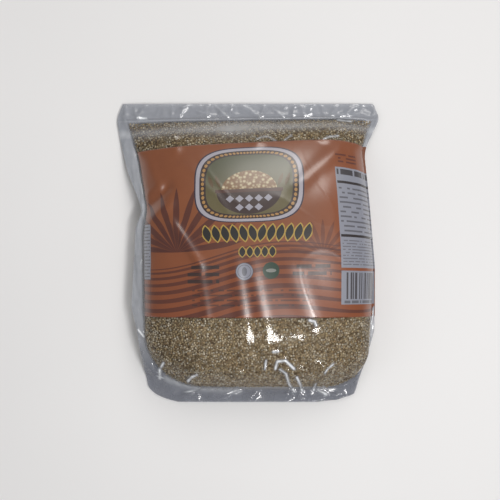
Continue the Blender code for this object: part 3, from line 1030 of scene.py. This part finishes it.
def paint_plate(art):
    """A rounded plate with a beaded rim, and on it a bowl of grain between leaves."""
    plate = art.round(PLATE_U, PLATE_V, 47.3, 32.6, 3.4)
    art.paint(art.below(plate, 1.0), linear(52, 40, 66))
    art.paint(art.below(plate, 0.975), linear(205, 200, 212))
    art.paint(art.below(plate, 0.905), linear(62, 44, 42))
    across = art.math("SUBTRACT", art.u, PLATE_U)
    turn = art.math("ARCTAN2", art.math("SUBTRACT", art.v, PLATE_V), across)
    _, bead = art.cells(turn, 0.0, 2 * math.pi / 64)
    bead = art.math("MULTIPLY", bead, 2.6)
    ring = art.math("MULTIPLY", art.math("SUBTRACT", plate, 0.848), 1 / 0.028)
    dot = art.math("ADD", art.both(ring, ring), art.both(bead, bead))
    art.paint(art.below(dot, 1.0), linear(208, 158, 92))
    field = art.below(plate, 0.79)
    green = art.mix(art.ramp(art.v, 40.0, 82.0), linear(122, 111, 70), linear(95, 98, 68))
    art.paint(field, green)
    heap = art.below(art.round(PLATE_U, BOWL_RIM, 24.0, 17.0), 1.0)
    cells = art.add("ShaderNodeTexVoronoi", Scale=330.0, Vector=art.place())
    spot = art.ramp(cells.outputs["Distance"], 0.15, 0.6)
    grain = art.mix(spot, linear(238, 222, 178), linear(150, 108, 62))
    art.paint(art.both(heap, art.above(art.v, BOWL_RIM)), grain)
    bowl = art.below(art.round(PLATE_U, BOWL_RIM, 28.0, 20.5), 1.0)
    art.paint(art.both(bowl, art.below(art.v, BOWL_RIM + 0.5)), linear(70, 48, 44))
    art.paint(art.box(-28.0, 30.0, 52.4, 55.4), linear(96, 58, 46))
    for low_edge, count, reach in ((43.6, 5, 20.5), (36.0, 3, 12.3)):
        _, column = art.cells(art.u, PLATE_U - reach, 2 * reach / count)
        height = art.math("ABSOLUTE", art.scaled(art.v, 1 / 7, -(low_edge + 3.4) / 7))
        diamond = art.math("ADD", art.math("ABSOLUTE", column), height)
        row = art.box(PLATE_U - reach, PLATE_U + reach, low_edge, low_edge + 7)
        art.paint(art.both(row, art.below(diamond, 0.44)), linear(196, 194, 208))
    sprig = art.leaves(-35.0, 37.0, 57.0, 68.0, 12, 1.7, 0.35)
    beside = art.above(art.math("ABSOLUTE", across), 24.5)
    art.paint(art.both(art.below(sprig, 1.0), beside, field), linear(110, 84, 44))


def paint_marks(art):
    """Rows of leaves, rows of plain bars and two plain discs."""
    for row in (
        art.leaves(-39.0, 55.0, 10.5, 24.0, 12, 3.3, 0.22),
        art.leaves(-8.0, 24.0, -3.0, 5.5, 5, 2.5, 0.0),
    ):
        art.paint(art.below(row, 1.42), linear(214, 178, 78))
        art.paint(art.below(row, 1.0), linear(30, 26, 24))
    art.paint(art.dashes(-52.0, -24.5, -27.0, -8.5, 3, 0.5, 3.1, 5.0), INK, 0.85)
    art.paint(art.dashes(38.0, 72.0, -20.5, -8.5, 2, 0.52, 3.3, 9.0), INK, 0.85)
    art.paint(art.dashes(-48.0, 52.0, -46.5, -29.5, 4, 0.34, 2.3, 2.0), INK, 0.6)
    disc = art.round(-3.0, -15.5, 7.6, 7.6)
    art.paint(art.below(disc, 1.0), linear(96, 92, 102))
    art.paint(art.below(disc, 0.93), linear(172, 174, 190))
    art.paint(art.both(art.below(disc, 0.76), art.above(disc, 0.70)), linear(120, 118, 132))
    art.paint(art.below(art.round(-3.0, -15.5, 2.2, 3.8), 1.0), linear(128, 130, 142))
    art.paint(art.below(art.round(19.7, -14.8, 7.1, 7.1), 1.0), linear(44, 76, 58))
    art.paint(art.below(art.round(19.7, -14.8, 4.4, 1.6), 1.0), linear(160, 164, 158))


def paint_tables(art):
    """A table of bars over a field of stripes at the right end, and a table's edge at the left."""
    slanted = art.math("ADD", art.u, art.scaled(art.v, 0.06, -4.2))
    heading = art.dashes(76.5, 97.0, 75.5, 84.5, 3, 0.5, 2.6, 1.0, slanted)
    art.paint(heading, linear(96, 36, 30), 0.8)
    art.paint(art.box(76.0, 127.0, -13.0, 72.0, u=slanted), PAPER)
    art.paint(art.dashes(77.2, 125.0, 65.0, 71.0, 1, 0.8, 1.7, 3.0, slanted), INK, 0.9)
    art.paint(art.dashes(77.8, 124.0, 16.0, 56.0, 10, 0.36, 2.6, 4.0, slanted), INK, 0.62)
    art.paint(art.dashes(77.8, 124.0, -11.5, 11.0, 9, 0.36, 1.3, 6.0, slanted), INK, 0.5)
    for level in (58.0, 12.8):
        art.paint(art.box(77.0, 126.0, level, level + 2.2, u=slanted), INK)
    art.paint(art.box(81.0, 124.0, -44.0, -15.5), PAPER)
    stripe, _ = art.cells(art.u, 0.0, 0.55)
    dark = art.above(art.chance(stripe), 0.45)
    art.paint(art.both(art.box(85.0, 121.0, -39.5, -17.0), dark), INK, 0.85)
    art.paint(art.dashes(84.0, 122.0, -43.2, -40.6, 1, 0.9, 1.4, 8.0), INK, 0.6)
    # Painted shade: a thin dark line along the fold where the label turns down at its left end.
    art.paint(art.box(-88.5, -87.9, -55.0, 44.0), RUST, 0.6)
    art.paint(art.box(-108.0, -88.3, -21.6, 29.0), PAPER)
    art.paint(art.dashes(-107.0, -89.0, -20.6, 28.0, 16, 0.36, 1.6, 7.0), INK, 0.6)


def label_material():
    """A made-up print under a gloss coat. Places in it are millimetres across and along."""
    art = Print("label_print")
    for paint in (paint_ground, paint_plate, paint_marks, paint_tables):
        paint(art)
    inked = art.add("ShaderNodeHueSaturation", Color=art.colour)
    inked.inputs["Value"].default_value = PRINT_VALUE
    shader = art.add(
        "ShaderNodeBsdfPrincipled", Base_Color=inked.outputs[0], Coat_Weight=1.0,
        Coat_Roughness=0.24, Coat_IOR=1.68, Roughness=art.scaled(art.noise(70.0, 3.0), 0.10, 0.40),
        Normal=art.bump(art.noise(90.0, 3.0), 0.0005, 0.3),
    )
    return art.surface(shader)


# Light, floor and camera, in metres and watts


WHITE = (1.0, 0.99, 0.98)
LAMP_AIM = Vector((0, 0, 0.03))
WORLD_STRENGTH = 0.22
FLOOR_SIZE = 16.0
FLOOR_DROP = 0.0002


def add_area(name, place, size, power, colour, mirrored=True, lights=True):
    """A soft box aimed at the bag. One that isn't mirrored lights it without a reflection in its
    film, and one that doesn't light gives the film a glint alone."""
    data = bpy.data.lights.new(name, "AREA")
    data.shape = "RECTANGLE"
    data.size, data.size_y = size
    data.energy = power
    data.color = colour
    lamp = bpy.data.objects.new(name, data)
    lamp.location = place
    lamp.visible_glossy = mirrored
    lamp.visible_diffuse = lights
    lamp.rotation_euler = (LAMP_AIM - Vector(place)).to_track_quat("-Z", "Y").to_euler()
    bpy.context.scene.collection.objects.link(lamp)


def make_lights():
    add_area("key", (0.33, -0.235, 1.0), (0.45, 0.17), 6.3, (1.0, 0.985, 0.97))
    add_area("upper", (0.3, 1.05, 0.95), (0.8, 0.6), 6.6, (1.0, 0.97, 0.93))
    add_area("glint", (0.2, -1.0, 0.30), (0.10, 0.06), 0.6, (1.0, 1.0, 1.0), lights=False)
    add_area("fill_top", (0.5, 0.6, 1.4), (1.2, 1.2), 2.2, WHITE, mirrored=False)
    add_area("fill_left", (-0.9, 0.1, 0.9), (1.0, 0.8), 2.2, WHITE, mirrored=False)
    add_area("fill_front", (-0.2, -1.1, 0.9), (1.2, 0.5), 0.4, WHITE, mirrored=False)
    world = bpy.data.worlds.new("studio")
    world.use_nodes = True
    background = world.node_tree.nodes["Background"]
    background.inputs["Color"].default_value = (*WHITE, 1.0)
    background.inputs["Strength"].default_value = WORLD_STRENGTH
    bpy.context.scene.world = world


def make_floor():
    nodes = Nodes("floor")
    tone = nodes.ramp(nodes.noise(3.0, 2.0), 0.2, 0.8)
    colour = nodes.mix(tone, linear(225, 225, 226), linear(229, 229, 230))
    shader = nodes.add("ShaderNodeBsdfPrincipled", Base_Color=colour, Roughness=0.8)
    bpy.ops.mesh.primitive_plane_add(size=FLOOR_SIZE, location=(0, 0, -FLOOR_DROP))
    floor = bpy.context.object
    floor.name = "floor"
    floor.data.materials.append(nodes.surface(shader))


# The photograph's frame: its width in pixels, the bag's middle in it, millimetres a pixel, and
# the height at which they hold, which is that of the bag's outline. Then the lens.
FRAME_PIXELS = 500
MIDDLE_PIXEL = (248.0, 253.0)
MM_PER_PIXEL = 0.88
OUTLINE_HEIGHT = 12.0
LENS = 100.0
SENSOR = 36.0


def make_camera():
    data = bpy.data.cameras.new("camera")
    data.lens = LENS
    data.sensor_width = SENSOR
    camera = bpy.data.objects.new("camera", data)
    width = FRAME_PIXELS * MM_PER_PIXEL
    distance = width * LENS / SENSOR + OUTLINE_HEIGHT
    x = (FRAME_PIXELS / 2 - MIDDLE_PIXEL[0]) * MM_PER_PIXEL
    y = (MIDDLE_PIXEL[1] - FRAME_PIXELS / 2) * MM_PER_PIXEL
    camera.location = Vector((x, y, distance)) * MM
    bpy.context.scene.collection.objects.link(camera)
    bpy.context.scene.camera = camera


make_film()
make_grains()
make_core()
make_label()
make_lights()
make_floor()
make_camera()
bpy.context.scene.view_settings.view_transform = "Standard"
